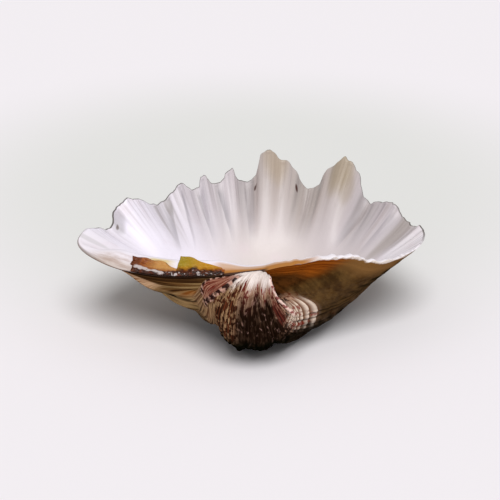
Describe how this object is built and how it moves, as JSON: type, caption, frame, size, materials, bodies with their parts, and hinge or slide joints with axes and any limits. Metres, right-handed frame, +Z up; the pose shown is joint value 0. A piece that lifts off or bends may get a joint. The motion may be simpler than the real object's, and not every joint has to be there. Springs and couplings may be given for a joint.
{
  "type": "clam shell",
  "caption": "One valve of a bear-paw clam, hollow side up: a fan of strong folds running out to a jagged margin, a coiled beak, a broad hinge shelf and a torn remnant of ligament.",
  "frame": {"origin": "middle of the bounding box at floor level, under the valve's worn patch", "axes": "+X along the hinge, from the long end that carries the ligament to the short end; +Y from the hinge and beak to the far lobed margin; +Z up, out of the hollow"},
  "size_m": [0.205, 0.1556, 0.0791],
  "materials": {
    "shell": "shell: smooth, softly glossy and white inside, matt and ribbed outside, cream with red-brown blotches",
    "ligament": "dried horny ligament, amber to dark brown, flaky on top"
  },
  "bodies": {
    "root": {"valve": "shell", "ligament": "ligament"}
  },
  "joints": []
}
